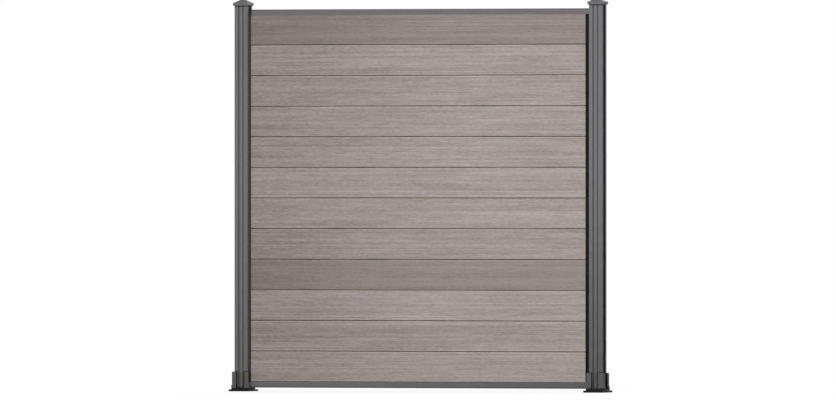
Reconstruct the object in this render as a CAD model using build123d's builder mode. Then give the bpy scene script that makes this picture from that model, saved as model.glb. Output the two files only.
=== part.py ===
from build123d import *
import os

# One bay of composite fencing, in millimetres.
# Twelve tongue and groove boards are stacked between a bottom rail and a top rail.
# Their ends run in the channels of two extruded posts.
# Each post stands on a bolt-down plate, in a shoe that grips its corners.
# +X runs along the fence, -Y is the front, +Z is up.
# The origin is on the ground, midway between the posts.

# Bay
POST_SPACING = 1840.0
BOARD_COUNT = 12

# Post extrusion: a square with one channel in each side
POST_WIDTH = 68.0
POST_LENGTH = 1888.0
POST_WALL = 2.0
POST_CORNER_RADIUS = 2.0
CHANNEL_WIDTH = 30.0
CHANNEL_DEPTH = 16.0
CORE_CHAMBER_WIDTH = 32.0
CORNER_CHAMBER_WIDTH = 14.0
POST_CHAMBER_CORNER = 2.5
NOTCH_WIDTH = 2.4
NOTCH_SETBACK = 10.0

# Board extrusion, with its tongue up and its groove down
BOARD_COVER = 150.0
BOARD_THICKNESS = 20.0
BOARD_END_GAP = 2.0
TONGUE_THICKNESS = 7.2
TONGUE_HEIGHT = 9.0
TONGUE_CHAMFER = 1.0
GROOVE_WIDTH = 8.2
GROOVE_DEPTH = 10.5
TOP_EDGE_CHAMFER = 1.8
SHADOW_GAP_HEIGHT = 4.0
SHADOW_GAP_DEPTH = 3.0
BOARD_CHAMBER_COUNT = 5
BOARD_CHAMBER_HEIGHT = 21.0
BOARD_CHAMBER_WIDTH = 10.0
BOARD_CHAMBER_CORNER = 2.5
BOARD_CHAMBER_PITCH = 26.0

# Rails, which clasp the first and the last board
RAIL_WIDTH = 26.0
RAIL_MOUTH = 21.0
RAIL_WALL = 2.0
RAIL_EDGE_RADIUS = 0.8
RAIL_CHAMBER_CORNER = 1.0
BOTTOM_RAIL_HEIGHT = 30.0
BOTTOM_RAIL_LIP = 2.0
TOP_RAIL_HEIGHT = 28.0
TOP_RAIL_LIP = 2.0
TOP_RAIL_SLOT_HEIGHT = 10.5

# Strip that snaps into the front and back channels
STRIP_SIDE_GAP = 0.2
STRIP_WALL = 1.8
STRIP_RIB_WIDTH = 15.0
STRIP_RIB_SETBACK = 0.5
STRIP_RIB_CHAMFER = 1.0
STRIP_FLOOR_SETBACK = 6.0

# Bead along the strips and seals, which snaps into the notches of a channel
BEAD_WIDTH = 2.0

# Rubber seal between a board face and the channel wall
# The lip is wider on the right, where it also covers the gap left for the boards to expand
SEAL_GRIP_DEPTH = 12.0
SEAL_LIP_WIDTH = {"left": 10.0, "right": 25.0}
SEAL_LIP_THICKNESS = 3.0
SEAL_LIP_CHAMFER = 1.2

# Base plate
PLATE_WIDTH = 102.0
PLATE_DEPTH = 150.0
PLATE_THICKNESS = 10.0
PLATE_CORNER_RADIUS = 6.0
PLATE_EDGE_CHAMFER = 1.0
BOLT_SPACING_X = 72.0
BOLT_SPACING_Y = 120.0
BOLT_HOLE_RADIUS = 5.5

# Shoe: a low collar round the post, and four corner lugs on thicker feet
SOCKET_CLEARANCE = 0.15
COLLAR_HEIGHT = 8.0
LUG_THICKNESS = 10.0
LUG_HEIGHT = 86.0
LUG_GAP = 36.0
LUG_CORNER_RADIUS = 3.0
LUG_TOP_CHAMFER = 2.5
FOOT_THICKNESS = 13.0
FOOT_HEIGHT = 22.0
FOOT_CORNER_RADIUS = 4.0
FOOT_TOP_CHAMFER = 1.5

# Cap: a round-edged rim under a low pyramid
CAP_WIDTH = 82.0
CAP_RIM_HEIGHT = 16.0
CAP_RIM_TOP_RADIUS = 5.0
CAP_RIM_BOTTOM_RADIUS = 3.5
CAP_SKIRT_HEIGHT = 8.0
CAP_SKIRT_WALL = 6.5
CAP_PYRAMID_WIDTH = 69.0
CAP_PYRAMID_RISE = 20.0
CAP_PYRAMID_TAPER = 58.5
CAP_PLUG_CLEARANCE = 0.5
CAP_PLUG_WALL = 2.0
CAP_PLUG_DEPTH = 18.0
CAP_PLUG_CORNER = 2.5

# Worked out from the sizes above
HALF_POST = POST_WIDTH / 2
POST_TOP = PLATE_THICKNESS + POST_LENGTH
BOARD_LENGTH = POST_SPACING - POST_WIDTH + 2 * (CHANNEL_DEPTH - BOARD_END_GAP)
BOTTOM_RAIL_BOTTOM = PLATE_THICKNESS + COLLAR_HEIGHT
BOTTOM_RAIL_TOP = BOTTOM_RAIL_BOTTOM + BOTTOM_RAIL_HEIGHT
FIRST_BOARD_BOTTOM = BOTTOM_RAIL_TOP - BOTTOM_RAIL_LIP
LAST_BOARD_TOP = FIRST_BOARD_BOTTOM + BOARD_COUNT * BOARD_COVER
TOP_RAIL_BOTTOM = LAST_BOARD_TOP - TOP_RAIL_LIP
SIDES = {"left": -1, "right": 1}
FACES = {"front": -1, "back": 1}


def keep(part, name):
    """Labels a finished piece and writes it to its own file."""
    part.label = name
    export_step(part, f"parts/{name}.step")


def post_plane(side, height):
    """Level plane centred on a post."""
    return Plane(origin=(SIDES[side] * POST_SPACING / 2, 0, height))


def end_plane(height):
    """Section plane at the left end of the boards and rails, seen along the fence."""
    return Plane(origin=(-BOARD_LENGTH / 2, 0, height), x_dir=(0, 1, 0), z_dir=(1, 0, 0))


def tube_hole(width, height, corner, mode=Mode.SUBTRACT):
    """The inside of a hollow section: a rectangle with its corners cut off."""
    x, y = width / 2, height / 2
    Polygon(
        (x - corner, y),
        (x, y - corner),
        (x, corner - y),
        (x - corner, -y),
        (corner - x, -y),
        (-x, corner - y),
        (-x, y - corner),
        (corner - x, y),
        mode=mode,
    )


def diamond(width, mode=Mode.ADD):
    """Section of a bead or of its notch: a square set on its corner."""
    Rectangle(width / 2**0.5, width / 2**0.5, rotation=45, mode=mode)


def make_board(number):
    """A hollow board, numbered from the ground up."""
    bottom = FIRST_BOARD_BOTTOM + (number - 1) * BOARD_COVER
    half = BOARD_THICKNESS / 2
    half_tongue = TONGUE_THICKNESS / 2
    half_groove = GROOVE_WIDTH / 2
    tongue_top = BOARD_COVER + TONGUE_HEIGHT
    with BuildPart() as board:
        with BuildSketch(end_plane(bottom)):
            with BuildLine():
                Polyline(
                    (0, GROOVE_DEPTH),
                    (half_groove, GROOVE_DEPTH),
                    (half_groove, 0),
                    (half - SHADOW_GAP_DEPTH, 0),
                    (half - SHADOW_GAP_DEPTH, SHADOW_GAP_HEIGHT),
                    (half, SHADOW_GAP_HEIGHT),
                    (half, BOARD_COVER - TOP_EDGE_CHAMFER),
                    (half - TOP_EDGE_CHAMFER, BOARD_COVER),
                    (half_tongue, BOARD_COVER),
                    (half_tongue, tongue_top - TONGUE_CHAMFER),
                    (half_tongue - TONGUE_CHAMFER, tongue_top),
                    (0, tongue_top),
                )
                mirror(about=Plane.YZ)
            make_face()
            with Locations((0, (BOARD_COVER + GROOVE_DEPTH) / 2)):
                with GridLocations(1, BOARD_CHAMBER_PITCH, 1, BOARD_CHAMBER_COUNT):
                    tube_hole(BOARD_CHAMBER_WIDTH, BOARD_CHAMBER_HEIGHT, BOARD_CHAMBER_CORNER)
        extrude(amount=BOARD_LENGTH)
    keep(board.part, f"board_{number:02d}")


def rail_outline(section, height, mouth_depth, from_top):
    """The outside of a rail, with round edges and a mouth for the board's edge."""
    Rectangle(RAIL_WIDTH, height, align=(Align.CENTER, Align.MIN))
    fillet(section.vertices(), RAIL_EDGE_RADIUS)
    mouth_bottom = height - mouth_depth if from_top else 0
    with Locations((0, mouth_bottom)):
        Rectangle(
            RAIL_MOUTH, mouth_depth, align=(Align.CENTER, Align.MIN), mode=Mode.SUBTRACT
        )


def make_bottom_rail():
    """A box section with two lips that hold the foot of the first board."""
    seat = BOTTOM_RAIL_HEIGHT - BOTTOM_RAIL_LIP
    with BuildPart() as bottom_rail:
        with BuildSketch(end_plane(BOTTOM_RAIL_BOTTOM)) as section:
            rail_outline(section, BOTTOM_RAIL_HEIGHT, BOTTOM_RAIL_LIP, from_top=True)
            with Locations((0, seat / 2)):
                tube_hole(RAIL_WIDTH - 2 * RAIL_WALL, seat - 2 * RAIL_WALL, RAIL_CHAMBER_CORNER)
        extrude(amount=BOARD_LENGTH)
    keep(bottom_rail.part, "bottom_rail")


def make_top_rail():
    """A capping section with a slot for the last tongue and lips over the last board."""
    slot_top = TOP_RAIL_LIP + TOP_RAIL_SLOT_HEIGHT
    side_width = (RAIL_WIDTH - GROOVE_WIDTH) / 2 - 2 * RAIL_WALL
    side_height = TOP_RAIL_SLOT_HEIGHT - RAIL_WALL
    side_x = RAIL_WIDTH / 2 - RAIL_WALL - side_width / 2
    side_z = slot_top - side_height / 2
    upper_height = TOP_RAIL_HEIGHT - slot_top - 2 * RAIL_WALL
    with BuildPart() as top_rail:
        with BuildSketch(end_plane(TOP_RAIL_BOTTOM)) as section:
            rail_outline(section, TOP_RAIL_HEIGHT, TOP_RAIL_LIP, from_top=False)
            Rectangle(
                GROOVE_WIDTH, slot_top, align=(Align.CENTER, Align.MIN), mode=Mode.SUBTRACT
            )
            with Locations((side_x, side_z), (-side_x, side_z)):
                tube_hole(side_width, side_height, RAIL_CHAMBER_CORNER)
            with Locations((0, slot_top + RAIL_WALL + upper_height / 2)):
                tube_hole(RAIL_WIDTH - 2 * RAIL_WALL, upper_height, RAIL_CHAMBER_CORNER)
        extrude(amount=BOARD_LENGTH)
    keep(top_rail.part, "top_rail")


def make_post(side):
    """A hollow extrusion: four corner tubes round a square core, with a channel in each side."""
    corner_tube = HALF_POST - POST_WALL - CORNER_CHAMBER_WIDTH / 2
    with BuildPart() as post:
        with BuildSketch(post_plane(side, PLATE_THICKNESS)):
            RectangleRounded(POST_WIDTH, POST_WIDTH, POST_CORNER_RADIUS)
            with PolarLocations(HALF_POST, 4):
                Rectangle(
                    CHANNEL_DEPTH, CHANNEL_WIDTH, align=(Align.MAX, Align.CENTER), mode=Mode.SUBTRACT
                )
            with PolarLocations(HALF_POST - NOTCH_SETBACK, 4):
                with GridLocations(1, CHANNEL_WIDTH, 1, 2):
                    diamond(NOTCH_WIDTH, Mode.SUBTRACT)
            tube_hole(CORE_CHAMBER_WIDTH, CORE_CHAMBER_WIDTH, POST_CHAMBER_CORNER)
            with GridLocations(2 * corner_tube, 2 * corner_tube, 2, 2):
                tube_hole(CORNER_CHAMBER_WIDTH, CORNER_CHAMBER_WIDTH, POST_CHAMBER_CORNER)
        extrude(amount=POST_LENGTH)
    keep(post.part, f"post_{side}")


def make_cover_strip(side, face):
    """A snap-in strip with a raised rib, which closes the front or back channel of a post."""
    outward = FACES[face]
    plane = Plane(
        origin=(SIDES[side] * POST_SPACING / 2, outward * HALF_POST, PLATE_THICKNESS),
        x_dir=(-outward, 0, 0),
        z_dir=(0, 0, 1),
    )
    half_width = CHANNEL_WIDTH / 2 - STRIP_SIDE_GAP
    half_rib = STRIP_RIB_WIDTH / 2
    with BuildPart() as cover_strip:
        with BuildSketch(plane):
            with BuildLine():
                Polyline(
                    (0, STRIP_RIB_SETBACK),
                    (half_rib - STRIP_RIB_CHAMFER, STRIP_RIB_SETBACK),
                    (half_rib, STRIP_RIB_SETBACK + STRIP_RIB_CHAMFER),
                    (half_rib, STRIP_FLOOR_SETBACK),
                    (half_width, STRIP_FLOOR_SETBACK),
                    (half_width, CHANNEL_DEPTH),
                    (half_width - STRIP_WALL, CHANNEL_DEPTH),
                    (half_width - STRIP_WALL, STRIP_FLOOR_SETBACK + STRIP_WALL),
                    (half_rib - STRIP_WALL, STRIP_FLOOR_SETBACK + STRIP_WALL),
                    (half_rib - STRIP_WALL, STRIP_RIB_SETBACK + STRIP_WALL),
                    (0, STRIP_RIB_SETBACK + STRIP_WALL),
                )
                mirror(about=Plane.YZ)
            make_face()
            with Locations((half_width, NOTCH_SETBACK), (-half_width, NOTCH_SETBACK)):
                diamond(BEAD_WIDTH)
        extrude(amount=POST_LENGTH)
    keep(cover_strip.part, f"cover_strip_{side}_{face}")


def make_edge_seal(side, face):
    """A rubber strip that wedges the board ends in their channel and laps onto their faces."""
    channel_mouth = SIDES[side] * (POST_SPACING / 2 - HALF_POST)
    board_face = BOARD_THICKNESS / 2
    lip_face = board_face + SEAL_LIP_THICKNESS
    lip_end = SEAL_LIP_WIDTH[side]

    def point(from_mouth, from_middle):
        """A point of the section, measured along the boards and out from their middle plane."""
        return (channel_mouth - SIDES[side] * from_mouth, FACES[face] * from_middle)

    with BuildPart() as edge_seal:
        with BuildSketch(Plane.XY.offset(BOTTOM_RAIL_TOP)):
            with BuildLine():
                Polyline(
                    point(-SEAL_GRIP_DEPTH, board_face),
                    point(lip_end, board_face),
                    point(lip_end, lip_face - SEAL_LIP_CHAMFER),
                    point(lip_end - SEAL_LIP_CHAMFER, lip_face),
                    point(0, lip_face),
                    point(0, CHANNEL_WIDTH / 2),
                    point(-SEAL_GRIP_DEPTH, CHANNEL_WIDTH / 2),
                    close=True,
                )
            make_face()
            with Locations(point(-NOTCH_SETBACK, CHANNEL_WIDTH / 2)):
                diamond(BEAD_WIDTH)
        extrude(amount=TOP_RAIL_BOTTOM - BOTTOM_RAIL_TOP)
    keep(edge_seal.part, f"edge_seal_{side}_{face}")


def make_base_plate(side):
    """A steel plate with four bolt holes, which the post and its shoe stand on."""
    with BuildPart() as base_plate:
        with BuildSketch(post_plane(side, 0)):
            RectangleRounded(PLATE_WIDTH, PLATE_DEPTH, PLATE_CORNER_RADIUS)
            with GridLocations(BOLT_SPACING_X, BOLT_SPACING_Y, 2, 2):
                Circle(BOLT_HOLE_RADIUS, mode=Mode.SUBTRACT)
        extrude(amount=PLATE_THICKNESS)
        top = base_plate.faces().sort_by(Axis.Z)[-1]
        chamfer(top.outer_wire().edges(), PLATE_EDGE_CHAMFER)
    keep(base_plate.part, f"base_plate_{side}")


def make_shoe(side):
    """A casting with a square socket for the post: a collar and four lugs on thicker feet."""
    socket_width = POST_WIDTH + 2 * SOCKET_CLEARANCE
    foot_width = socket_width + 2 * FOOT_THICKNESS
    lug_width = socket_width + 2 * LUG_THICKNESS
    floor = post_plane(side, PLATE_THICKNESS)
    with BuildPart() as shoe:
        with BuildSketch(floor):
            RectangleRounded(foot_width, foot_width, FOOT_CORNER_RADIUS)
        extrude(amount=FOOT_HEIGHT)
        chamfer(shoe.faces().sort_by(Axis.Z)[-1].edges(), FOOT_TOP_CHAMFER)

        with BuildSketch(floor):
            RectangleRounded(lug_width, lug_width, LUG_CORNER_RADIUS)
        extrude(amount=LUG_HEIGHT)
        chamfer(shoe.faces().sort_by(Axis.Z)[-1].edges(), LUG_TOP_CHAMFER)

        with BuildSketch(floor.offset(COLLAR_HEIGHT)):
            Rectangle(LUG_GAP, foot_width)
            Rectangle(foot_width, LUG_GAP)
        extrude(amount=LUG_HEIGHT, mode=Mode.SUBTRACT)

        with BuildSketch(floor):
            Rectangle(socket_width, socket_width)
        extrude(amount=LUG_HEIGHT, mode=Mode.SUBTRACT)
    keep(shoe.part, f"post_shoe_{side}")


def make_cap(side):
    """A cap whose skirt laps over the post, with a plug that centres it in the core."""
    cavity_width = CAP_WIDTH - 2 * CAP_SKIRT_WALL
    plug_width = CORE_CHAMBER_WIDTH - 2 * CAP_PLUG_CLEARANCE
    plug_hole_width = plug_width - 2 * CAP_PLUG_WALL
    rim_bottom = post_plane(side, POST_TOP - CAP_SKIRT_HEIGHT)
    rim_top = rim_bottom.offset(CAP_RIM_HEIGHT)
    with BuildPart() as cap:
        with BuildSketch(rim_bottom):
            Rectangle(CAP_WIDTH, CAP_WIDTH)
        extrude(amount=CAP_RIM_HEIGHT)
        fillet(cap.faces().sort_by(Axis.Z)[-1].edges(), CAP_RIM_TOP_RADIUS)
        fillet(cap.faces().sort_by(Axis.Z)[0].edges(), CAP_RIM_BOTTOM_RADIUS)

        with BuildSketch(rim_top):
            Rectangle(CAP_PYRAMID_WIDTH, CAP_PYRAMID_WIDTH)
        extrude(amount=CAP_PYRAMID_RISE, taper=CAP_PYRAMID_TAPER)

        with BuildSketch(rim_bottom):
            Rectangle(cavity_width, cavity_width)
        extrude(amount=CAP_SKIRT_HEIGHT, mode=Mode.SUBTRACT)

        with BuildSketch(post_plane(side, POST_TOP)):
            tube_hole(plug_width, plug_width, CAP_PLUG_CORNER, Mode.ADD)
            tube_hole(plug_hole_width, plug_hole_width, CAP_PLUG_CORNER)
        extrude(amount=-CAP_PLUG_DEPTH)
    keep(cap.part, f"post_cap_{side}")


os.makedirs("parts", exist_ok=True)
for board_number in range(1, BOARD_COUNT + 1):
    make_board(board_number)
make_bottom_rail()
make_top_rail()
for side_name in SIDES:
    make_base_plate(side_name)
    make_shoe(side_name)
    make_post(side_name)
    make_cap(side_name)
    for face_name in FACES:
        make_cover_strip(side_name, face_name)
        make_edge_seal(side_name, face_name)
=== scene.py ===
# %% [markdown]
# # Dressing a bay of composite fencing
#
# The real thing is twelve hollow boards stacked between two slotted aluminium posts.
# The frame brings every piece in at its true size, so this lesson is about looks.
# We give the boards a brushed face, cast the two caps afresh, mix the finishes,
# and light the bay like a product on a white ground.
#
# All lengths are in metres. MM turns a number of millimetres into metres.

import math

import bmesh
import bpy
from mathutils import Matrix, Vector


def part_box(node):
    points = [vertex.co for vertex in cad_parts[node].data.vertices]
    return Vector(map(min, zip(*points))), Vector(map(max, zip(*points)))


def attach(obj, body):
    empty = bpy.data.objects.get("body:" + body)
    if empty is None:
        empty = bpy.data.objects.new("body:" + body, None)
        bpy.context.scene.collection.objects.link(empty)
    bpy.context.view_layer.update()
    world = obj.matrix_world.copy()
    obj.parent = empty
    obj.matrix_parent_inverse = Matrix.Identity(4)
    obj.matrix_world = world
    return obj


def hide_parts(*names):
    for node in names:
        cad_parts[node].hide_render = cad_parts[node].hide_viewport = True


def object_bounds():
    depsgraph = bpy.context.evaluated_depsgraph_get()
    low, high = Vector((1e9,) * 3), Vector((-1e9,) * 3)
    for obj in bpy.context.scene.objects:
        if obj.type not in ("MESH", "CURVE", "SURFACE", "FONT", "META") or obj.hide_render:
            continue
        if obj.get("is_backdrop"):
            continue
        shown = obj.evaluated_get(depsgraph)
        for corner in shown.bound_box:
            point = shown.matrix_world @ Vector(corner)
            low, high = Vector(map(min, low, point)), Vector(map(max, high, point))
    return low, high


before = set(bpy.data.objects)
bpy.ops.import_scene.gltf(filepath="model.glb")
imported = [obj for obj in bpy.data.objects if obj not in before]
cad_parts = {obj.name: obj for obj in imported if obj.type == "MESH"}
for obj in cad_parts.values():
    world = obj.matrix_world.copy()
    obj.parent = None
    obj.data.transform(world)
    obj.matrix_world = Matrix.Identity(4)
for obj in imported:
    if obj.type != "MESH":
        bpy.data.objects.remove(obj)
cad_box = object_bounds()
print("pieces in the frame:", len(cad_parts))

# %% [markdown]
# ## Measure before modelling
#
# A few sizes come straight from the frame: where the posts stand, how wide they are,
# and how much height one board covers. Measuring keeps the looks tied to the real pieces.

# %% Sizes from the frame
MM = 0.001
BOARD_COUNT = 12
SIDES = {"left": -1, "right": 1}
FACES = ("front", "back")


def board_name(number):
    """Boards are numbered from the ground up."""
    return f"board_{number:02d}"


post_low, post_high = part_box("post_right")
POST_X = (post_low.x + post_high.x) / 2
HALF_POST = (post_high.x - post_low.x) / 2
POST_TOP = post_high.z
FIRST_BOARD_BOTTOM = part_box(board_name(1))[0].z
BOARD_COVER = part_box(board_name(2))[0].z - FIRST_BOARD_BOTTOM
HALF_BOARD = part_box(board_name(1))[1].y
print(f"posts at x = {POST_X:.3f}, {2 * HALF_POST:.3f} wide, boards cover {BOARD_COVER:.3f}")

# %% [markdown]
# ## Three habits of edit mode
#
# An operator works on whatever is selected, so each step starts by selecting one piece,
# then the faces or edges that it needs. Finding them by place or direction is the same as
# clicking on them, and it still works when the script is run again.
#
# A face looks straight along an axis when that part of its normal is nearly one.

# %% Helpers for selecting
STRAIGHT = 0.99


def only(piece):
    """Makes this piece the one selected and active object."""
    bpy.ops.object.select_all(action="DESELECT")
    piece.select_set(True)
    bpy.context.view_layer.objects.active = piece


def edit(piece):
    """Opens a piece in edit mode with nothing selected."""
    only(piece)
    bpy.ops.object.mode_set(mode="EDIT")
    bpy.ops.mesh.select_all(action="DESELECT")


def pick(kind, wanted):
    """Selects the faces or edges of the open piece for which wanted() is true."""
    bpy.ops.mesh.select_mode(type=kind)
    bpy.ops.mesh.select_all(action="DESELECT")
    mesh = bmesh.from_edit_mesh(bpy.context.edit_object.data)
    for item in mesh.faces if kind == "FACE" else mesh.edges:
        if wanted(item):
            item.select_set(True)
    bmesh.update_edit_mesh(bpy.context.edit_object.data)


def modify(piece, kind, **settings):
    """Adds a modifier, sets it up and applies it."""
    only(piece)
    bpy.ops.object.modifier_add(type=kind)
    modifier = piece.modifiers[-1]
    for name, value in settings.items():
        setattr(modifier, name, value)
    bpy.ops.object.modifier_apply(modifier=modifier.name)


# %% [markdown]
# ## The board
#
# Wood-plastic composite leaves the die with a smooth skin. A roller then presses a wood
# grain into the two wide faces, and a brush takes off the shine. The relief is only some
# tenths of a millimetre deep, but it is what breaks up the light.
#
# We could fake all of it in the material. A grid on the two wide faces, pushed in by a
# stretched noise, gives real relief that is still there in a mesh without materials.

# %% Merge a copy of the lowest board
MERGE_DISTANCE = 0.01 * MM
FLAT_ANGLE = math.radians(0.5)


def merged_copy(node_name, name):
    """Copies a piece of the frame and merges its loose triangles into whole faces."""
    piece = bpy.data.objects.new(name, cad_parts[node_name].data.copy())
    bpy.context.scene.collection.objects.link(piece)
    piece.data.name = name
    piece.data.materials.clear()
    only(piece)
    bpy.ops.mesh.customdata_custom_splitnormals_clear()
    bpy.ops.object.mode_set(mode="EDIT")
    bpy.ops.mesh.select_all(action="SELECT")
    bpy.ops.mesh.remove_doubles(threshold=MERGE_DISTANCE)
    bpy.ops.mesh.dissolve_limited(angle_limit=FLAT_ANGLE)
    bpy.ops.object.mode_set(mode="OBJECT")
    return piece


plain_board = merged_copy(board_name(1), "plain_board")
print("the plain board has", len(plain_board.data.polygons), "faces")

# %% [markdown]
# The grid has the same number of cuts both ways. On a face that is 1.8 m long and 144 mm
# high, that makes cells about 28 mm long and 2.3 mm high, which is the shape of the grain.

# %% Lay a grid on the two wide faces
GRID_CUTS = 63
WIDE_FACE_AREA = 0.1


def is_wide_face(face):
    """One of the two faces that the fence shows, front or back."""
    return abs(face.normal.y) > STRAIGHT and face.calc_area() > WIDE_FACE_AREA


edit(plain_board)
pick("FACE", is_wide_face)
bpy.ops.mesh.subdivide(number_cuts=GRID_CUTS)
bpy.ops.object.mode_set(mode="OBJECT")
print("with its grid it has", len(plain_board.data.polygons), "faces")

# %% [markdown]
# The edge of the grid stays where it is, so the chamfer and the shadow gap keep their
# lines. A vertex group names the points that may move.

# %% Mark the points that the roller reaches
ROLLER_MARGIN = 1.5 * MM
face_points = [v for v in plain_board.data.vertices if abs(v.co.y) > HALF_BOARD - MERGE_DISTANCE]
face_bottom = min(v.co.z for v in face_points) + ROLLER_MARGIN
face_top = max(v.co.z for v in face_points) - ROLLER_MARGIN
brushed = plain_board.vertex_groups.new(name="brushed_face")
brushed.add([v.index for v in face_points if face_bottom < v.co.z < face_top], 1.0, "REPLACE")
print("the brushed faces run from", round(face_bottom, 4), "to", round(face_top, 4))

# %% [markdown]
# The noise is made for a cube and then stretched: an empty that is long in X and thin in
# Z hands its shape to the texture. Moving that empty for each board gives each board a
# grain of its own, as boards from a long run have. With its middle level at one, the
# noise only pushes points in, so no board grows past the size it has in the frame.

# %% Press the grain into twelve boards
GRAIN_DEPTH = 0.5 * MM
GRAIN_LENGTH = 180 * MM
GRAIN_PITCH = 9 * MM
GRAIN_SHIFT = 5.3
GRAIN_OCTAVES = 2
INWARDS_ONLY = 1.0
BOARD_SMOOTH_ANGLE = math.radians(30)

emboss = bpy.data.textures.new("embossed_grain", type="CLOUDS")
emboss.noise_scale = 1.0
emboss.noise_depth = GRAIN_OCTAVES
bpy.ops.object.empty_add(type="PLAIN_AXES")
grain_empty = bpy.context.active_object
grain_empty.scale = (GRAIN_LENGTH, GRAIN_PITCH, GRAIN_PITCH)

boards = []
for number in range(1, BOARD_COUNT + 1):
    only(plain_board)
    bpy.ops.object.duplicate()
    board = bpy.context.active_object
    board.name = board.data.name = f"fence_{board_name(number)}"
    board.data.transform(Matrix.Translation((0, 0, (number - 1) * BOARD_COVER)))
    step = GRAIN_SHIFT * number
    grain_empty.location = (GRAIN_LENGTH * step, 0, GRAIN_PITCH * step)
    bpy.context.view_layer.update()
    modify(
        board,
        "DISPLACE",
        texture=emboss,
        texture_coords="OBJECT",
        texture_coords_object=grain_empty,
        vertex_group="brushed_face",
        strength=GRAIN_DEPTH,
        mid_level=INWARDS_ONLY,
    )
    only(board)
    bpy.ops.object.shade_smooth_by_angle(angle=BOARD_SMOOTH_ANGLE)
    boards.append(board)
bpy.data.objects.remove(grain_empty)
bpy.data.objects.remove(plain_board)
print("boards pressed:", len(boards))

# %% [markdown]
# ## The cap
#
# The cap is a die casting: a rim with round edges, a low pyramid on top so that rain runs
# off, a hollow under it that goes over the post, and a square plug that keeps it central.
#
# It starts as a cube. Insets and extrusions on the square shape come first, because an
# inset goes wrong on a corner that is already round. The corners are rounded last.

# %% Sizes of the cap
CAP_WIDTH = 82 * MM
RIM_HEIGHT = 16 * MM
SKIRT_HEIGHT = 8 * MM
SKIRT_WALL = 6.5 * MM
PLUG_WIDTH = 31 * MM
PLUG_WALL = 2 * MM
PLUG_DEPTH = 18 * MM
PYRAMID_WIDTH = 69 * MM
PYRAMID_RISE = 20 * MM
PYRAMID_TIP = 3.7 * MM
CORNER_RADIUS = 5 * MM
TOP_RADIUS = 2.2 * MM
BOTTOM_RADIUS = 1.6 * MM
HIP_RADIUS = 1.2 * MM
CORNER_STEPS, TOP_STEPS, BOTTOM_STEPS, HIP_STEPS = 6, 6, 5, 3
NEAR = 0.05 * MM

rim_bottom = POST_TOP - SKIRT_HEIGHT
rim_top = rim_bottom + RIM_HEIGHT
print(f"rim from {rim_bottom:.4f} to {rim_top:.4f}, tip at {rim_top + PYRAMID_RISE:.4f}")


# %% Cast one cap
def level_face(height, up):
    """A test for the level face at a height. It looks up where up is 1, and down at -1."""

    def wanted(face):
        at_height = abs(face.calc_center_median().z - height) < NEAR
        return at_height and face.normal.z * up > STRAIGHT

    return wanted


def push(distance):
    """Extrudes the picked face straight up, or down where the distance is negative."""
    bpy.ops.mesh.extrude_region_move(TRANSFORM_OT_translate={"value": (0, 0, distance)})


bpy.ops.object.select_all(action="DESELECT")
bpy.ops.mesh.primitive_cube_add(
    size=1, location=(0, 0, rim_bottom + RIM_HEIGHT / 2), scale=(CAP_WIDTH, CAP_WIDTH, RIM_HEIGHT)
)
cap = bpy.context.active_object
bpy.ops.object.transform_apply(location=True, rotation=True, scale=True)
edit(cap)
pick("FACE", level_face(rim_bottom, -1))
bpy.ops.mesh.inset(thickness=SKIRT_WALL)
push(SKIRT_HEIGHT)
bpy.ops.mesh.inset(thickness=(CAP_WIDTH - PLUG_WIDTH) / 2 - SKIRT_WALL)
push(-PLUG_DEPTH)
bpy.ops.mesh.inset(thickness=PLUG_WALL)
push(PLUG_DEPTH)
pick("FACE", level_face(rim_top, 1))
bpy.ops.mesh.inset(thickness=(CAP_WIDTH - PYRAMID_WIDTH) / 2)
push(PYRAMID_RISE)
shrink = PYRAMID_TIP / PYRAMID_WIDTH
bpy.ops.transform.resize(value=(shrink, shrink, 1), center_override=(0, 0, rim_top + PYRAMID_RISE))
bpy.ops.object.mode_set(mode="OBJECT")
print("cap before rounding:", len(cap.data.polygons), "faces")

# %% [markdown]
# A real casting has no sharp edge, because metal doesn't fill one. The upright corners
# are rounded first, then the hips of the pyramid, then the two loops of the rim.

# %% Round the cap
STEEP = math.sin(math.radians(45))
CAP_SMOOTH_ANGLE = math.radians(35)


def is_corner(edge):
    """An upright edge at an outer corner of the rim."""
    reaches = [abs(value) for v in edge.verts for value in v.co.xy]
    return all(abs(reach - CAP_WIDTH / 2) < NEAR for reach in reaches)


def is_rim(height):
    """A test for the outer edges of the rim at a height."""
    reach = CAP_WIDTH / 2 - CORNER_RADIUS - NEAR

    def wanted(edge):
        ends = [v.co for v in edge.verts]
        level = all(abs(c.z - height) < NEAR for c in ends)
        outer = all(max(abs(c.x), abs(c.y)) > reach for c in ends)
        return level and outer and any(abs(f.normal.z) < STEEP for f in edge.link_faces)

    return wanted


def is_hip(edge):
    """A sloping edge of the pyramid."""
    low, high = sorted(v.co.z for v in edge.verts)
    return abs(low - rim_top) < NEAR and abs(high - rim_top - PYRAMID_RISE) < NEAR


edit(cap)
pick("EDGE", is_corner)
bpy.ops.mesh.bevel(offset=CORNER_RADIUS, segments=CORNER_STEPS, affect="EDGES")
pick("EDGE", is_hip)
bpy.ops.mesh.bevel(offset=HIP_RADIUS, segments=HIP_STEPS, affect="EDGES")
pick("EDGE", is_rim(rim_top))
bpy.ops.mesh.bevel(offset=TOP_RADIUS, segments=TOP_STEPS, affect="EDGES")
pick("EDGE", is_rim(rim_bottom))
bpy.ops.mesh.bevel(offset=BOTTOM_RADIUS, segments=BOTTOM_STEPS, affect="EDGES")
bpy.ops.object.mode_set(mode="OBJECT")
print("cap after rounding:", len(cap.data.polygons), "faces")

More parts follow.
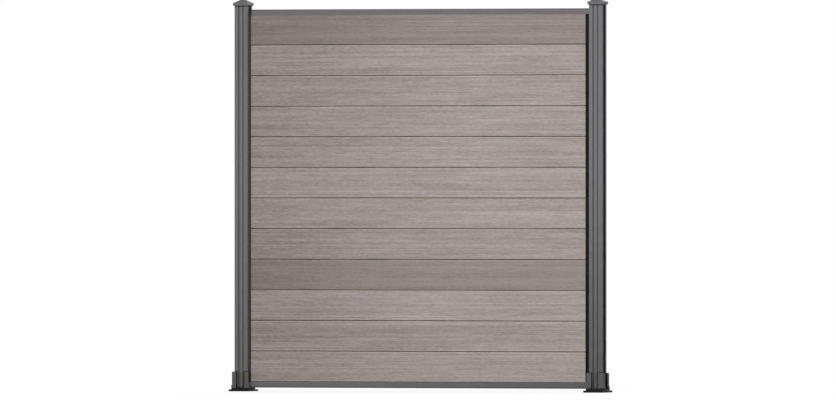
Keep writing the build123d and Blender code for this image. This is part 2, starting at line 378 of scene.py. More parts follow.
# %% Set a cap on each post
caps = []
for side, sign in SIDES.items():
    only(cap)
    bpy.ops.object.duplicate()
    copy = bpy.context.active_object
    copy.name = copy.data.name = f"cast_cap_{side}"
    copy.data.transform(Matrix.Translation((sign * POST_X, 0, 0)))
    bpy.ops.object.shade_smooth_by_angle(angle=CAP_SMOOTH_ANGLE)
    modify(copy, "WEIGHTED_NORMAL", keep_sharp=True)
    caps.append(copy)
bpy.data.objects.remove(cap)
print("caps:", [c.name for c in caps])

# %% [markdown]
# ## Colours
#
# The colours below are what the eye sees, in the hex form used on screens. A shader
# counts light, so each one is turned to linear light by the sRGB curve.


# %% Turn a colour to linear light
def linear(hex_colour):
    """RGBA in linear light from an sRGB hex colour. The numbers are the standard's own."""
    values = [int(hex_colour[i : i + 2], 16) / 255 for i in (1, 3, 5)]
    return (*[v / 12.92 if v <= 0.04045 else ((v + 0.055) / 1.055) ** 2.4 for v in values], 1.0)


print("half grey in linear light:", [round(v, 3) for v in linear("#808080")])

# %% [markdown]
# ## One function for every node
#
# A finish is a graph of nodes. This function adds one node, fills its inputs in order or
# by name with plain values or with other nodes' outputs, and sets its switches. It gives
# back the node's outputs, so that one line can feed the next.
#
# A Mix node keeps sockets for numbers, vectors and colours side by side. The values
# below are the places of its two numbers, its two colours and the colour that comes out.

# %% Add a node
NUMBER_A, NUMBER_B = 2, 3
COLOUR_A, COLOUR_B = 6, 7
MIXED = 2


def new_material(name):
    """An empty material that uses nodes."""
    material = bpy.data.materials.new(name)
    material.use_nodes = True
    material.node_tree.nodes.clear()
    return material


def add_node(owner, kind, *inputs, named=None, **switches):
    """Adds a node to a material or world. An input that is None keeps its default."""
    made = owner.node_tree.nodes.new("ShaderNode" + kind)
    for name, value in switches.items():
        setattr(made, name, value)
    for key, value in [*enumerate(inputs), *(named or {}).items()]:
        if isinstance(value, bpy.types.NodeSocket):
            owner.node_tree.links.new(value, made.inputs[key])
        elif value is not None:
            made.inputs[key].default_value = value
    return made.outputs


# %% [markdown]
# ## Wood-plastic composite
#
# The boards are about half wood flour and half polyethylene, coloured right through with
# a warm grey pigment. Brushing gives a dry, matt face with fine long streaks. Four sizes
# of streak are mixed: broad clouds from the mixing of the batch, long lines that the wire
# brush combs into the face, the pressed grain, and short scratches. The lines of the real
# board are about half a millimetre apart. That is far too fine to show here, so they are
# drawn 6 to 9 mm apart, and the clouds are bands about 34 mm high.
#
# All of it is placed by Object coordinates, so it is the same size on every board. The
# number of the board, found from the height, moves the pattern on and shifts its tone.

# %% Find the board from the height
BOARD_STEP_ALONG = 3.7

composite = new_material("brushed_wood_plastic_composite")
place = add_node(composite, "TexCoord")["Object"]
along, through, up = add_node(composite, "SeparateXYZ", place)
height_in_stack = add_node(composite, "Math", up, FIRST_BOARD_BOTTOM, operation="SUBTRACT")[0]
boards_up = add_node(composite, "Math", height_in_stack, BOARD_COVER, operation="DIVIDE")[0]
board_index = add_node(composite, "Math", boards_up, operation="FLOOR")[0]
height_in_board = add_node(composite, "Math", boards_up, operation="FRACT")[0]
step_along = add_node(composite, "Math", board_index, BOARD_STEP_ALONG, operation="MULTIPLY")[0]
shift = add_node(composite, "CombineXYZ", step_along, None, board_index)[0]
own_place = add_node(composite, "VectorMath", place, shift, operation="ADD")[0]
print("board pattern nodes:", len(composite.node_tree.nodes))

# %% [markdown]
# Grain never runs quite straight. A slow noise lifts and drops the pattern by a few
# millimetres along the board before the streaks are read, so they drift and taper.

# %% Let the grain wander
WANDER_LENGTH = 300 * MM
WANDER_HEIGHT = 70 * MM
WANDER = 3 * MM
STREAK_THICKNESS = 50 * MM
PLAIN_DETAIL, PLAIN_HARSHNESS = 1.0, 0.5


def streaks(vector, length, height, detail=PLAIN_DETAIL, roughness=PLAIN_HARSHNESS):
    """A noise from 0 to 1 whose marks are this long and this high."""
    sizes = (1 / length, 1 / STREAK_THICKNESS, 1 / height)
    stretched = add_node(composite, "VectorMath", vector, sizes, operation="MULTIPLY")[0]
    settings = {"Scale": 1.0, "Detail": detail, "Roughness": roughness}
    return add_node(composite, "TexNoise", stretched, named=settings)[0]


slow = streaks(own_place, WANDER_LENGTH, WANDER_HEIGHT)
lift = add_node(composite, "MapRange", slow, 0.0, 1.0, -WANDER / 2, WANDER / 2)[0]
wander = add_node(composite, "CombineXYZ", None, None, lift)[0]
grain_place = add_node(composite, "VectorMath", own_place, wander, operation="ADD")[0]
print("the grain wanders by", WANDER, "m")

# %% Four sizes of streak
CLOUD_SIZE = (550 * MM, 34 * MM)
COMB_SIZE = (2500 * MM, 6.5 * MM)
GRAIN_SIZE = (90 * MM, 9 * MM)
SCRATCH_SIZE = (20 * MM, 6 * MM)
FINER = 2.0
GRAIN_HARSHNESS = 0.6

clouds = streaks(grain_place, *CLOUD_SIZE, detail=FINER)
comb_lines = streaks(own_place, *COMB_SIZE)
grain = streaks(grain_place, *GRAIN_SIZE, detail=FINER, roughness=GRAIN_HARSHNESS)
scratches = streaks(grain_place, *SCRATCH_SIZE)
print("nodes with the streaks:", len(composite.node_tree.nodes))

# %% [markdown]
# Each batch of pigment comes out a little different. A noise that depends on the board's
# number gives every board its own small shift, and one board in eight is from a darker
# batch, as in the real bay. More pigment also hides the grain, so the streaks are fainter
# on it. Towards the left of the bay all boards are painted darker, as painted shade.
#
# Each pattern is added by its share. A noise is one half on average, so the sum starts at
# minus half of all shares, which leaves it at nought on average.

# %% Tone of each board
MIDDLE_TONE = 0.53
CLOUD_SHARE, COMB_SHARE, GRAIN_SHARE, SCRATCH_SHARE = 0.75, 0.95, 0.8, 0.85
BATCH_SHARE = 0.15
DARK_BATCH_SHIFT = -0.35
DARK_BATCH_CALM = 0.4
DARK_BATCH_EVERY = 8
DARK_BATCH_FIRST = 3
HALF_STEP = 0.5
SHADE_FROM, SHADE_TO = -0.98, 0.35
SHADE_SHIFT = -0.31

batch = add_node(composite, "TexWhiteNoise", None, board_index, noise_dimensions="1D")[0]
turn_of_batch = add_node(composite, "Math", board_index, DARK_BATCH_EVERY, operation="MODULO")[0]
is_dark = add_node(
    composite, "Math", turn_of_batch, DARK_BATCH_FIRST, HALF_STEP, operation="COMPARE"
)[0]
# The boards are painted darker towards the left of the bay: painted shade.
is_shaded = add_node(
    composite, "MapRange", along, SHADE_FROM, SHADE_TO, 1.0, 0.0, interpolation_type="SMOOTHSTEP"
)[0]

noise_shares = {
    clouds: CLOUD_SHARE,
    comb_lines: COMB_SHARE,
    grain: GRAIN_SHARE,
    scratches: SCRATCH_SHARE,
    batch: BATCH_SHARE,
}
streaked = -sum(noise_shares.values()) / 2
for pattern, share in noise_shares.items():
    streaked = add_node(composite, "Math", pattern, share, streaked, operation="MULTIPLY_ADD")[0]
contrast = add_node(
    composite, "Math", is_dark, -DARK_BATCH_CALM, 1.0, operation="MULTIPLY_ADD"
)[0]
tone = add_node(composite, "Math", streaked, contrast, MIDDLE_TONE, operation="MULTIPLY_ADD")[0]
for pattern, share in ((is_dark, DARK_BATCH_SHIFT), (is_shaded, SHADE_SHIFT)):
    tone = add_node(composite, "Math", pattern, share, tone, operation="MULTIPLY_ADD")[0]
print("patterns in the tone:", len(noise_shares))

# %% [markdown]
# The upper edge of each board is drawn as a paler line of 3 mm, a painted highlight that
# stands in for the light its chamfer catches from above, and the scratches break it up.
# The pale wood flour leans to rose in some stretches and to straw in others.

# %% Painted highlight on the upper edge, and the colour of the face
HIGHLIGHT_FROM, HIGHLIGHT_TO = 0.968, 0.98
HIGHLIGHT_SHIFT = 0.3
COMPOSITE_DARK = "#847c76"
COMPOSITE_STRAW = "#aea69f"
COMPOSITE_ROSE = "#aea6a4"
HUE_SIZE = (400 * MM, 120 * MM)
HUE_FROM, HUE_TO = 0.35, 0.65

# A paler line at the top of each board's face: painted highlight.
near_top = add_node(composite, "MapRange", height_in_board, HIGHLIGHT_FROM, HIGHLIGHT_TO)[0]
painted_highlight = add_node(composite, "Math", near_top, scratches, operation="MULTIPLY")[0]
tone = add_node(composite, "Math", painted_highlight, 2 * HIGHLIGHT_SHIFT, tone, operation="MULTIPLY_ADD")[0]
hue = add_node(composite, "MapRange", streaks(own_place, *HUE_SIZE), HUE_FROM, HUE_TO)[0]
hues = {COLOUR_A: linear(COMPOSITE_STRAW), COLOUR_B: linear(COMPOSITE_ROSE)}
pale = add_node(composite, "Mix", hue, named=hues, data_type="RGBA")[MIXED]
tones = {COLOUR_A: linear(COMPOSITE_DARK), COLOUR_B: pale}
brushed_colour = add_node(
    composite, "Mix", tone, named=tones, data_type="RGBA", clamp_factor=False
)[MIXED]
print("nodes with the colour of the face:", len(composite.node_tree.nodes))

# %% [markdown]
# The brush doesn't reach the tongue, the groove or the bottom of the shadow gap. There
# the board keeps its extruded skin, which is smoother and a little darker. Its colour there
# is painted near black, as painted shade in the joints, and paler in random patches. The
# distance from the middle plane of the board tells skin from face. On the face the
# scratches drive the roughness as well as the tone. How rough each part is can't be read
# from the photograph, so those values are guesses.

# %% Skin and painted shade in the joints, relief on the face
# Near black in the joints: painted shade, paler in random patches.
SHADED_SKIN = "#1a100a"
PALE_SHADED_SKIN = "#68574b"
PALE_PATCH_SIZE = (260 * MM, 60 * MM)
PALE_PATCH_FROM, PALE_PATCH_TO = 0.38, 0.62
SKIN_REACH = HALF_BOARD - 2.6 * MM
FACE_REACH = HALF_BOARD - 0.9 * MM
BUMP_STRENGTH = 0.7
BUMP_DISTANCE = 0.35 * MM
SKIN_ROUGHNESS = 0.55
SMOOTHEST, ROUGHEST = 0.68, 0.88
COMPOSITE_GLOSS = 0.3
COMPOSITE_IOR = 1.49
PLASTIC_IOR = 1.5

pale_patches_map = streaks(own_place, *PALE_PATCH_SIZE, detail=FINER)
pale_patches = add_node(composite, "MapRange", pale_patches_map, PALE_PATCH_FROM, PALE_PATCH_TO)[0]
shaded_skins = {COLOUR_A: linear(SHADED_SKIN), COLOUR_B: linear(PALE_SHADED_SKIN)}
skin_and_shade_colour = add_node(composite, "Mix", pale_patches, named=shaded_skins, data_type="RGBA")[MIXED]
from_middle = add_node(composite, "Math", through, operation="ABSOLUTE")[0]
on_face = add_node(composite, "MapRange", from_middle, SKIN_REACH, FACE_REACH)[0]
skin_shade_and_face = {COLOUR_A: skin_and_shade_colour, COLOUR_B: brushed_colour}
composite_colour = add_node(
    composite, "Mix", on_face, named=skin_shade_and_face, data_type="RGBA"
)[MIXED]
relief = add_node(composite, "Math", grain, scratches, operation="ADD")[0]
bumps = {"Height": relief, "Strength": BUMP_STRENGTH, "Distance": BUMP_DISTANCE}
bump = add_node(composite, "Bump", named=bumps)[0]
scratched = add_node(composite, "MapRange", scratches, 0.0, 1.0, SMOOTHEST, ROUGHEST)[0]
roughnesses = {NUMBER_A: SKIN_ROUGHNESS, NUMBER_B: scratched}
composite_roughness = add_node(composite, "Mix", on_face, named=roughnesses)[0]


def finish_with(owner, colour, roughness, normal, gloss, ior=PLASTIC_IOR):
    """Closes a graph with the main shader and the output."""
    shader = add_node(
        owner,
        "BsdfPrincipled",
        named={
            "Base Color": colour,
            "Roughness": roughness,
            "IOR": ior,
            "Normal": normal,
            "Specular IOR Level": gloss,
        },
    )[0]
    add_node(owner, "OutputMaterial", shader)


finish_with(
    composite, composite_colour, composite_roughness, bump, COMPOSITE_GLOSS, COMPOSITE_IOR
)
print("composite nodes:", len(composite.node_tree.nodes))

# %% [markdown]
# ## Powder-coated aluminium
#
# Posts, strips, rails and caps are aluminium under a baked polyester powder. It hides the
# metal, so the shader isn't metallic: it is a grey plastic skin with a soft sheen. The
# powder melts into a surface with a faint ripple, called orange peel, about 2 mm across.
#
# The tone drifts by a few percent over a hand's width. It is painted darker towards the
# ground, with a faint warm tint, much darker in the lowest 25 mm, and darker towards the
# lower right corner of the bay. All three are painted shade.
#
# Dried rain usually leaves a film that makes the sheen uneven. The photograph is too
# small to show it, so its patches of 45 mm and how far they drift are guesses.

# %% A coat and its ripple
COAT_ROUGHNESS = 0.62
COAT_GLOSS = 0.25
COAT_DRIFT = 0.05
DRIFT_SIZE = 140 * MM
# Painted shade: darker towards the ground, in the lowest 25 mm and near the lower right corner.
GROUND_SHADE_HEIGHT = 0.9
GROUND_SHADE_TONE = 0.82
GROUND_SHADE_TINT = (1.0, 1.0, 0.98)
CORNER_SHADE_REACH = 1.2
CORNER_SHADE_TONE = 0.68
LOW_SHADE_FROM, LOW_SHADE_TO = 23.0 * MM, 25.0 * MM
LOW_SHADE_TONE = 0.55
PEEL_SIZE = 2.2 * MM
PEEL_DEPTH = 0.04 * MM
PEEL_DETAIL = 1.0
FILM_SIZE = 45 * MM
FILM_DETAIL = 2.0
FILM_FROM, FILM_TO = 0.35, 0.65
ROUGHNESS_DRIFT = 0.08


def coat_colour(
    owner,
    colour,
    drift=COAT_DRIFT,
    ground_shade_tone=GROUND_SHADE_TONE,
    corner_shade_tone=CORNER_SHADE_TONE,
    low_shade_tone=LOW_SHADE_TONE,
):
    """The coat's colour, uneven by this share, with painted shade near the ground and the lower
    right corner.
    """
    place = add_node(owner, "TexCoord")["Object"]
    height = add_node(owner, "SeparateXYZ", place)[2]
    clean = linear(colour)
    ground_shaded = (*[ground_shade_tone * tint * value for tint, value in zip(GROUND_SHADE_TINT, clean)], 1.0)
    # Painted shade near the ground, in the lowest 25 mm and towards the lower right corner.
    ground_shade_share = add_node(owner, "MapRange", height, 0.0, GROUND_SHADE_HEIGHT, 1.0, 0.0)[0]
    uneven = add_node(owner, "TexNoise", place, named={"Scale": 1 / DRIFT_SIZE})[0]
    factor = add_node(owner, "MapRange", uneven, 0.0, 1.0, 1 - drift, 1 + drift)[0]
    to_corner = add_node(owner, "VectorMath", place, (POST_X, 0, 0), operation="DISTANCE")["Value"]
    corner_shade = add_node(owner, "MapRange", to_corner, 0.0, CORNER_SHADE_REACH, corner_shade_tone, 1.0)[0]
    low_shade = add_node(owner, "MapRange", height, LOW_SHADE_FROM, LOW_SHADE_TO, low_shade_tone, 1.0)[0]
    for dulled in (corner_shade, low_shade):
        factor = add_node(owner, "Math", factor, dulled, operation="MULTIPLY")[0]
    coats = {COLOUR_A: clean, COLOUR_B: ground_shaded}
    coat = add_node(owner, "Mix", ground_shade_share, named=coats, data_type="RGBA")[MIXED]
    return add_node(owner, "VectorMath", coat, named={"Scale": factor}, operation="SCALE")[0]


def rippled(owner, size=PEEL_SIZE, depth=PEEL_DEPTH):
    """The faint ripple of a melted or moulded surface."""
    place = add_node(owner, "TexCoord")["Object"]
    marks = {"Scale": 1 / size, "Detail": PEEL_DETAIL}
    ripple = add_node(owner, "TexNoise", place, named=marks)[0]
    bumps = {"Height": ripple, "Strength": 1.0, "Distance": depth}
    return add_node(owner, "Bump", named=bumps)[0]


def finish_coat(owner, colour, roughness, ripple, gloss):
    """Closes a graph, for a coat or for rubber, with a roughness that drifts a little."""
    place = add_node(owner, "TexCoord")["Object"]
    patches = {"Scale": 1 / FILM_SIZE, "Detail": FILM_DETAIL}
    film = add_node(owner, "TexNoise", place, named=patches)[0]
    limits = (FILM_FROM, FILM_TO, roughness - ROUGHNESS_DRIFT, roughness + ROUGHNESS_DRIFT)
    finish_with(owner, colour, add_node(owner, "MapRange", film, *limits)[0], ripple, gloss)


print("a coat is dulled below", GROUND_SHADE_HEIGHT, "m")

# %% [markdown]
# The caps are plain. The left end of the top rail, beside the post, is painted black as
# painted shade.

# %% Caps and rails
CAST_GREY = "#676769"
RAIL_GREY = "#6a676a"
RAIL_GROUND_SHADE_TONE = 0.92
PAINTED_SHADE_BLACK = "#131312"
END_SHADE_SHOWS = 14 * MM
END_SHADE_REACH = -POST_X + HALF_POST + END_SHADE_SHOWS
HALF_HEIGHT = POST_TOP / 2

cast_coat = new_material("powder_coated_die_casting")
cast_colour = coat_colour(cast_coat, CAST_GREY)
finish_coat(cast_coat, cast_colour, COAT_ROUGHNESS, rippled(cast_coat), COAT_GLOSS)

rail_coat = new_material("powder_coated_rail")
rail_x, _, rail_z = add_node(rail_coat, "SeparateXYZ", add_node(rail_coat, "TexCoord")["Object"])
# The black left end of the top rail is painted shade.
at_end = add_node(rail_coat, "Math", rail_x, END_SHADE_REACH, operation="LESS_THAN")[0]
is_top_rail = add_node(rail_coat, "Math", rail_z, HALF_HEIGHT, operation="GREATER_THAN")[0]
end_shaded = add_node(rail_coat, "Math", at_end, is_top_rail, operation="MULTIPLY")[0]
rail_grey = coat_colour(rail_coat, RAIL_GREY, ground_shade_tone=RAIL_GROUND_SHADE_TONE)
rail_colours = {COLOUR_A: rail_grey, COLOUR_B: linear(PAINTED_SHADE_BLACK)}
rail_colour = add_node(rail_coat, "Mix", end_shaded, named=rail_colours, data_type="RGBA")[MIXED]
finish_coat(rail_coat, rail_colour, COAT_ROUGHNESS, rippled(rail_coat), COAT_GLOSS)
print("coats:", cast_coat.name, rail_coat.name)

# %% [markdown]
# Deep in a narrow channel the coat is painted darker, as painted shade. How far a point
# lies below the faces of its post drives that change, in the posts and less so in the
# shallow cover strips.
#
# A band of painted shade runs under each cap, and another along the top of the shoe's
# lugs. Between the lugs, the strips are painted a little darker, as shade too.

# %% Coat with painted shade in the channels
POST_GREY = "#6d6c6e"
CHANNEL_SHADE_BLACK = "#161617"
POST_SHADE_DEPTHS = (0.5 * MM, 3.0 * MM)
STRIP_SHADE_DEPTHS = (1.5 * MM, 6.0 * MM)
DARKEST_ON_POST, DARKEST_ON_STRIP = 1.0, 0.3
SHADE_BAND_HEIGHT = 5.0 * MM
LUG_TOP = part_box("post_shoe_left")[1].z
# A band of painted shade is (from this height, to this height, how dark).
CAP_SHADE_BAND = (rim_bottom - SHADE_BAND_HEIGHT, rim_bottom, 0.75)
LUG_SHADE_BAND = (LUG_TOP, LUG_TOP + SHADE_BAND_HEIGHT, 0.8)
SHADE_AMONG_LUGS = (0.0, LUG_TOP, 0.25)


def from_post_axis(owner):
    """How far a point is from the upright axis of its post, across and through the fence."""
    x, y, _ = add_node(owner, "SeparateXYZ", add_node(owner, "TexCoord")["Object"])
    from_centre = add_node(owner, "Math", x, operation="ABSOLUTE")[0]
    off_axis = add_node(owner, "Math", from_centre, POST_X, operation="SUBTRACT")[0]
    return [add_node(owner, "Math", value, operation="ABSOLUTE")[0] for value in (off_axis, y)]


def coat_with_channel_shade(name, shade_depths, darkest, bands):
    """A coat with painted shade that deepens over this range of depths, and bands of painted shade
    at given heights.
    """
    coat = new_material(name)
    outermost = add_node(coat, "Math", *from_post_axis(coat), operation="MAXIMUM")[0]
    shade_start, shade_end = (HALF_POST - depth for depth in shade_depths)
    # Painted shade, darker the deeper a point lies below the faces of its post.
    dark = add_node(coat, "MapRange", outermost, shade_start, shade_end, 0.0, darkest)[0]
    height = add_node(coat, "SeparateXYZ", add_node(coat, "TexCoord")["Object"])[2]
    for low, high, share in bands:
        middle, reach = (low + high) / 2, (high - low) / 2
        in_band = add_node(coat, "Math", height, middle, reach, operation="COMPARE")[0]
        dark = add_node(coat, "Math", in_band, share, dark, operation="MULTIPLY_ADD")[0]
    greys = {COLOUR_A: coat_colour(coat, POST_GREY), COLOUR_B: linear(CHANNEL_SHADE_BLACK)}
    colour = add_node(coat, "Mix", dark, named=greys, data_type="RGBA")[MIXED]
    finish_coat(coat, colour, COAT_ROUGHNESS, rippled(coat), COAT_GLOSS)
    return coat


post_coat = coat_with_channel_shade(
    "powder_coated_post", POST_SHADE_DEPTHS, DARKEST_ON_POST, [CAP_SHADE_BAND, LUG_SHADE_BAND]
)
strip_coat = coat_with_channel_shade(
    "powder_coated_cover_strip", STRIP_SHADE_DEPTHS, DARKEST_ON_STRIP, [CAP_SHADE_BAND, SHADE_AMONG_LUGS]
)
print("channel coats:", post_coat.name, strip_coat.name)

# %% [markdown]
# ## Shoes, plates and seals
#
# The shoes are rougher sand castings under a darker coat. Their collar is painted black
# as painted shade, and so are the walls between the lugs and the sides of the lugs that
# face the boards, down to the rail. The black round the collar climbs a little from left
# to right, and at the left shoe it reaches a little way over the edges of the lugs.
#
# Each part of the painted shade is where some distance is smaller than a limit. The loop
# multiplies what lies outside it, so a point is black as soon as one of the parts covers it.

# %% Shoes
SHOE_GREY = "#606062"
SHOE_ROUGHNESS = 0.7
SHOE_GLOSS = 0.15
SHOE_DRIFT = 0.08
SAND_GRAIN, SAND_DEPTH = 3.0 * MM, 0.12 * MM
COLLAR_SHADE_TOP = 18.5 * MM
COLLAR_SHADE_CLIMB = 2.0 * MM
RAIL_LINE = 46 * MM
LEFT_SHADE_SPILL = 3.5 * MM
HALF_LUG_GAP = 18.0 * MM
LUG_SIDE = HALF_POST + 9.0 * MM
SHADE_EDGE_WIDTH = 0.6 * MM

shoe_coat = new_material("powder_coated_sand_casting")
shoe_x, _, shoe_z = add_node(shoe_coat, "SeparateXYZ", add_node(shoe_coat, "TexCoord")["Object"])
slope = -COLLAR_SHADE_CLIMB / POST_X
height_of_collar_shade = add_node(shoe_coat, "Math", shoe_x, slope, shoe_z, operation="MULTIPLY_ADD")[0]
beside_rail = add_node(shoe_coat, "Math", shoe_z, RAIL_LINE, operation="LESS_THAN")[0]
from_bay_centre = add_node(shoe_coat, "Math", shoe_x, operation="ABSOLUTE")[0]
inner_side = add_node(shoe_coat, "Math", from_bay_centre, beside_rail, operation="ADD")[0]
innermost = add_node(shoe_coat, "Math", *from_post_axis(shoe_coat), operation="MINIMUM")[0]
is_left = add_node(shoe_coat, "Math", shoe_x, 0.0, operation="LESS_THAN")[0]
spilled_over = add_node(shoe_coat, "Math", is_left, -LEFT_SHADE_SPILL, innermost, operation="MULTIPLY_ADD")[0]
# Black painted shade round the collar, between the lugs and on the lugs' inner sides.
outside_painted_shade = 1.0
for distance, shade_ends in (
    (height_of_collar_shade, COLLAR_SHADE_TOP),
    (spilled_over, HALF_LUG_GAP + SHADE_EDGE_WIDTH / 2),
    (inner_side, POST_X - LUG_SIDE),
):
    shade_edge_range = (shade_ends, shade_ends + SHADE_EDGE_WIDTH)
    beyond = add_node(shoe_coat, "MapRange", distance, *shade_edge_range)[0]
    outside_painted_shade = add_node(shoe_coat, "Math", beyond, outside_painted_shade, operation="MULTIPLY")[0]
shoe_grey = coat_colour(shoe_coat, SHOE_GREY, SHOE_DRIFT, corner_shade_tone=1.0, low_shade_tone=1.0)
shoe_colours = {COLOUR_A: linear(PAINTED_SHADE_BLACK), COLOUR_B: shoe_grey}
shoe_colour = add_node(shoe_coat, "Mix", outside_painted_shade, named=shoe_colours, data_type="RGBA")[MIXED]
cast_skin = rippled(shoe_coat, SAND_GRAIN, SAND_DEPTH)
finish_coat(shoe_coat, shoe_colour, SHOE_ROUGHNESS, cast_skin, SHOE_GLOSS)
print("shoe nodes:", len(shoe_coat.node_tree.nodes))

# %% [markdown]
# The base plates are hot-rolled steel with a black coat, so they keep a trace of mill
# scale. The seals are EPDM rubber, which is black because it is filled with soot. Towards
# the left it is painted a lighter brown, as painted light.

# %% Plates and seals
DARK_DRIFT = 0.15
PLATE_BLACK = "#19191a"
PLATE_ROUGHNESS = 0.6
PLATE_GLOSS = 0.12
SCALE_SIZE, SCALE_DEPTH = 6.0 * MM, 0.1 * MM
RUBBER_BLACK = "#120d0b"
RUBBER_PAINTED_LIGHT = "#43352f"
RUBBER_ROUGHNESS = 0.85
RUBBER_GLOSS = 0.15
MOULD_SIZE, MOULD_DEPTH = 1.5 * MM, 0.05 * MM

plate_coat = new_material("black_coated_steel")
plate_colour = coat_colour(plate_coat, PLATE_BLACK, DARK_DRIFT)
mill_scale = rippled(plate_coat, SCALE_SIZE, SCALE_DEPTH)
finish_coat(plate_coat, plate_colour, PLATE_ROUGHNESS, mill_scale, PLATE_GLOSS)

rubber = new_material("epdm_rubber")
rubber_x = add_node(rubber, "SeparateXYZ", add_node(rubber, "TexCoord")["Object"])[0]
# The seals are painted lighter towards the left: painted light.
painted_light_share = add_node(rubber, "MapRange", rubber_x, POST_X, -POST_X)[0]
rubbers = {
    COLOUR_A: coat_colour(rubber, RUBBER_BLACK, DARK_DRIFT),
    COLOUR_B: coat_colour(rubber, RUBBER_PAINTED_LIGHT, DARK_DRIFT),
}
rubber_colour = add_node(rubber, "Mix", painted_light_share, named=rubbers, data_type="RGBA")[MIXED]
moulded_skin = rippled(rubber, MOULD_SIZE, MOULD_DEPTH)
finish_coat(rubber, rubber_colour, RUBBER_ROUGHNESS, moulded_skin, RUBBER_GLOSS)
print("dark finishes:", plate_coat.name, rubber.name)

# %% [markdown]
# ## Put the finishes on
#
# The new boards and caps stand for pieces of the frame, so those are hidden. Everything
# else keeps its own shape and only changes its finish. The whole bay is one rigid thing,
# so every new piece rides on the body called root.


# %% Dress every piece
def wear(piece, material):
    """Gives a piece one finish all over."""
    piece.data.materials.clear()
    piece.data.materials.append(material)


for number, board in enumerate(boards, start=1):
    wear(board, composite)
    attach(board, "root")
    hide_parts(board_name(number))
for cap_copy, side in zip(caps, SIDES):
    wear(cap_copy, cast_coat)
    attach(cap_copy, "root")
    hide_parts(f"post_cap_{side}")
for side in SIDES:
    wear(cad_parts[f"post_{side}"], post_coat)
    wear(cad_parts[f"post_shoe_{side}"], shoe_coat)
    wear(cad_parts[f"base_plate_{side}"], plate_coat)
    for face in FACES:
        wear(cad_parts[f"cover_strip_{side}_{face}"], strip_coat)
        wear(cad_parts[f"edge_seal_{side}_{face}"], rubber)
for rail in ("bottom_rail", "top_rail"):
    wear(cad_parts[rail], rail_coat)
print("dressed", len(boards) + len(caps), "new pieces")

# %% [markdown]
# ## A white ground
#
# A product shot has a background that is pure white and still looks like a place to stand.
# The trick is in the kind of ray. To the camera and in reflections the ground glows
# white. To the light that bounces about it is a pale grey card, so it doesn't light the
# bay from below. Near the bay a part of that card still shows, which keeps a faint
# shadow. Further out the glow takes over, at a strength of one, which is plain white.

# %% Floor and sky
FLOOR_SIZE = 14.0
FLOOR_GLOW = 0.6
GLOW_NEAR, GLOW_FAR = 1.2, 1.0
SHADOW_FROM, SHADOW_TO = 1.2, 3.2
SKY_FILL = 0.3
CARD_IN_BOUNCES = "#aeaeae"
CARD_SEEN = "#f4f4f4"
WHITE = (1.0, 1.0, 1.0, 1.0)


def seen_directly(owner):
    """1 for a ray from the camera, or one that leaves gloss or glass, and 0 for the rest."""
    rays = add_node(owner, "LightPath")
    kinds = rays["Is Camera Ray"], rays["Is Glossy Ray"]
    either = add_node(owner, "Math", *kinds, operation="MAXIMUM")[0]
    return add_node(owner, "Math", either, rays["Is Transmission Ray"], operation="MAXIMUM")[0]


bpy.ops.object.select_all(action="DESELECT")
bpy.ops.mesh.primitive_plane_add(size=FLOOR_SIZE)
floor = bpy.context.active_object
floor.name = "floor"
card = new_material("white_card")
direct = seen_directly(card)
card_greys = {COLOUR_A: linear(CARD_IN_BOUNCES), COLOUR_B: linear(CARD_SEEN)}
card_grey = add_node(card, "Mix", direct, named=card_greys, data_type="RGBA")[MIXED]
matt = add_node(card, "BsdfDiffuse", card_grey)[0]
floor_place = add_node(card, "TexCoord")["Object"]
from_centre = add_node(card, "VectorMath", floor_place, operation="LENGTH")["Value"]
fades_over = (SHADOW_FROM, SHADOW_TO)
glow_power = add_node(card, "MapRange", from_centre, *fades_over, GLOW_NEAR, GLOW_FAR)[0]
glow = add_node(card, "Emission", WHITE, glow_power)[0]
glow_here = add_node(card, "MapRange", from_centre, *fades_over, FLOOR_GLOW, 1.0)[0]
glow_share = add_node(card, "Math", direct, glow_here, operation="MULTIPLY")[0]
add_node(card, "OutputMaterial", add_node(card, "MixShader", glow_share, matt, glow)[0])
wear(floor, card)
floor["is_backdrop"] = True

sky = bpy.data.worlds.new("white_studio")
sky.use_nodes = True
sky.node_tree.nodes.clear()
strength = add_node(sky, "MapRange", seen_directly(sky), 0.0, 1.0, SKY_FILL, 1.0)[0]
add_node(sky, "OutputWorld", add_node(sky, "Background", WHITE, strength)[0])
bpy.context.scene.world = sky
print("floor and sky are in")

# %% [markdown]
# ## Lamps
#
# A broad key lamp hangs high and far in front, a little to the right. High, so that it
# catches the upper edge of each board and drops a shadow under the caps. Far, so that the
# lowest board gets nearly as much as the highest. A wide low lamp makes up the rest of
# that. Two lamps just behind the line of the fence graze the outer sides of the posts,
# and a pair behind the bay keeps its back readable.

# %% Place the lamps
LAMPS = {
    # name: (place, aim, width, height, watts)
    "key": ((0.8, -7.5, 6.2), (0.1, 0.0, 1.0), 2.6, 2.6, 322),
    "low_front": ((0.7, -4.2, 0.6), (0.1, 0.0, 0.7), 2.4, 1.2, 75),
    "right_side": ((4.6, 1.1, 2.2), (0.95, 0.0, 1.0), 2.0, 2.0, 20),
    "left_side": ((-4.6, 1.1, 2.2), (-0.95, 0.0, 1.0), 2.0, 2.0, 24),
    "back_key": ((2.0, 6.0, 5.0), (0.0, 0.0, 1.0), 2.4, 2.4, 230),
    "back_fill": ((-2.2, 5.2, 1.2), (0.0, 0.0, 0.9), 2.2, 1.6, 70),
}


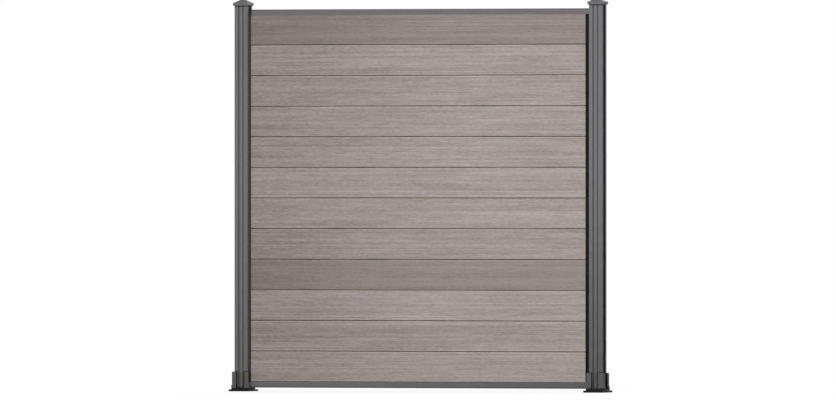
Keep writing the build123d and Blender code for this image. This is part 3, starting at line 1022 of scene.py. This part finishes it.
def hang_lamp(name, place, aim, width, height, watts):
    """An area lamp that points at its aim and doesn't show itself."""
    facing = (Vector(aim) - Vector(place)).to_track_quat("-Z", "Y").to_euler()
    bpy.ops.object.light_add(type="AREA", location=place, rotation=facing)
    lamp = bpy.context.active_object
    lamp.name = name
    lamp.data.shape = "RECTANGLE"
    lamp.data.size = width
    lamp.data.size_y = height
    lamp.data.energy = watts
    lamp.visible_camera = False


for lamp_name, settings in LAMPS.items():
    hang_lamp(lamp_name, *settings)
print("lamps:", len(LAMPS))

# %% [markdown]
# ## Camera
#
# In the photograph the boards run nearly level from side to side, although the sides of
# the posts show. It was taken from about 5 m away, with its lines kept straight. A very
# long lens from far away gives almost the same lines with no lens shift, so it is used
# here, and small differences at the caps and the base plates stay.
#
# The frame is 836 by 400, and twelve boards of 150 mm take 368 of its rows, which gives
# the width of the view at the bay. The lens and that width give the distance.

# %% Set up the camera
SENSOR = 36.0
LENS = 750.0
PICTURE_WIDTH = 836
MM_PER_PIXEL = 4.888
VIEW_WIDTH = PICTURE_WIDTH * MM_PER_PIXEL * MM
AZIMUTH = math.radians(19.7)
LOOK_HEIGHT = 0.9379
LOOK_LEFT = 9.2 * MM
CLIP_MARGIN = 2.5

distance = LENS / SENSOR * VIEW_WIDTH
towards = Vector((math.sin(AZIMUTH), -math.cos(AZIMUTH), 0))
camera_right = Vector((math.cos(AZIMUTH), math.sin(AZIMUTH), 0))
look_at = Vector((0, 0, LOOK_HEIGHT)) - camera_right * LOOK_LEFT
facing = (-towards).to_track_quat("-Z", "Y").to_euler()
bpy.ops.object.camera_add(location=look_at + towards * distance, rotation=facing)
camera = bpy.context.active_object
camera.data.sensor_width = SENSOR
camera.data.lens = LENS
camera.data.clip_end = CLIP_MARGIN * distance
bpy.context.scene.camera = camera
bpy.context.scene.view_settings.view_transform = "Standard"
print(f"camera {distance:.1f} m away")

# %% [markdown]
# ## The size of the dressed bay
#
# The dressed bay has to fill the same box as the frame. Both boxes are printed below.

# %% Print the sizes
dressed_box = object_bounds()
for box_name, box in (("frame", cad_box), ("dressed", dressed_box)):
    print(box_name, "box:", [[round(value, 4) for value in corner] for corner in box])
